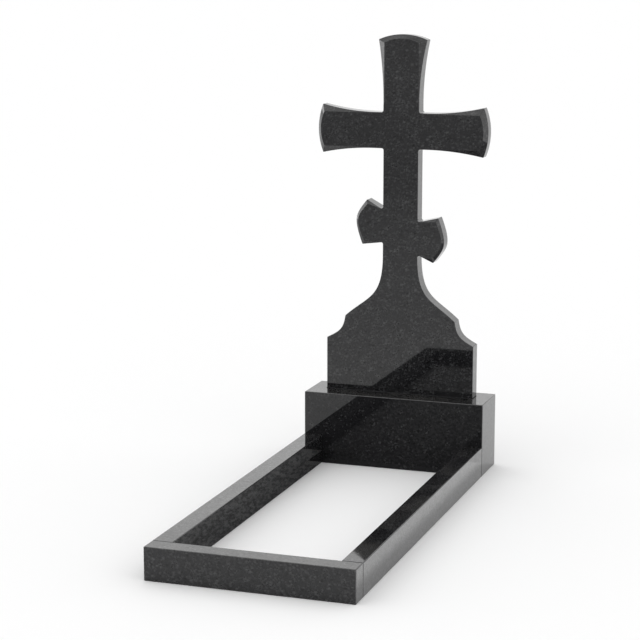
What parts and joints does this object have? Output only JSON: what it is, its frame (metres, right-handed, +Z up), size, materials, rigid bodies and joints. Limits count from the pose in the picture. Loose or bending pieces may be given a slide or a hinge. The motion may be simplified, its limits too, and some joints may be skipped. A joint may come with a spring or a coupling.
{
  "type": "grave monument",
  "caption": "Polished black granite grave monument: a slab cut as a cross with a slanted lower bar, on a block at the head of a low surround.",
  "frame": {"origin": "on the ground, in the middle of the whole footprint", "axes": "+X to the right of someone who stands at the foot of the plot and faces the slab, +Y from the foot of the plot towards the slab, +Z up"},
  "size_m": [0.5, 1.2196, 1.1633],
  "materials": {
    "polished_granite": "black fine-grained granite, polished to a mirror, with small grey flecks and eased edges"
  },
  "bodies": {
    "root": {"stele": "polished_granite", "pedestal": "polished_granite", "front_curb": "polished_granite", "left_curb": "polished_granite", "right_curb": "polished_granite"}
  },
  "joints": []
}
